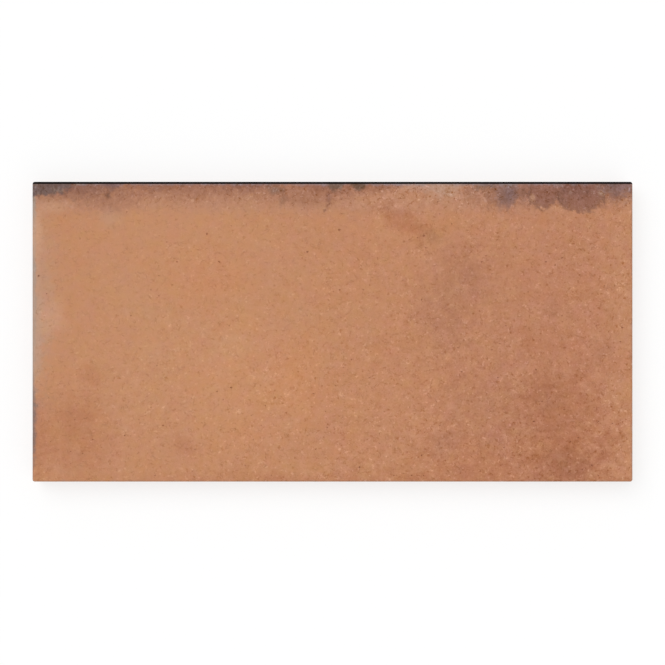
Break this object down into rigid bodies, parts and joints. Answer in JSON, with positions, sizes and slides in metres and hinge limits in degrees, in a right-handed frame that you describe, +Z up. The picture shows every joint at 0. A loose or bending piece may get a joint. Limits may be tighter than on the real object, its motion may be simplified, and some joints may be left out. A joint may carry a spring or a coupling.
{
  "type": "terracotta floor tile",
  "caption": "Oblong extruded terracotta floor tile, twice as long as wide, with an eased rim on its wear face, relieved long sides and dovetail keys in its back for mortar.",
  "frame": {"origin": "middle of the underside, in the bedding plane", "axes": "+X along the tile's length, the way the clay was extruded; +Y across it, towards the long side that the fire has darkened; +Z up, out of the wear face"},
  "size_m": [0.3, 0.15, 0.014],
  "materials": {
    "fired_clay": "matte"
  },
  "bodies": {
    "root": {"floor_tile": "fired_clay"}
  },
  "joints": []
}
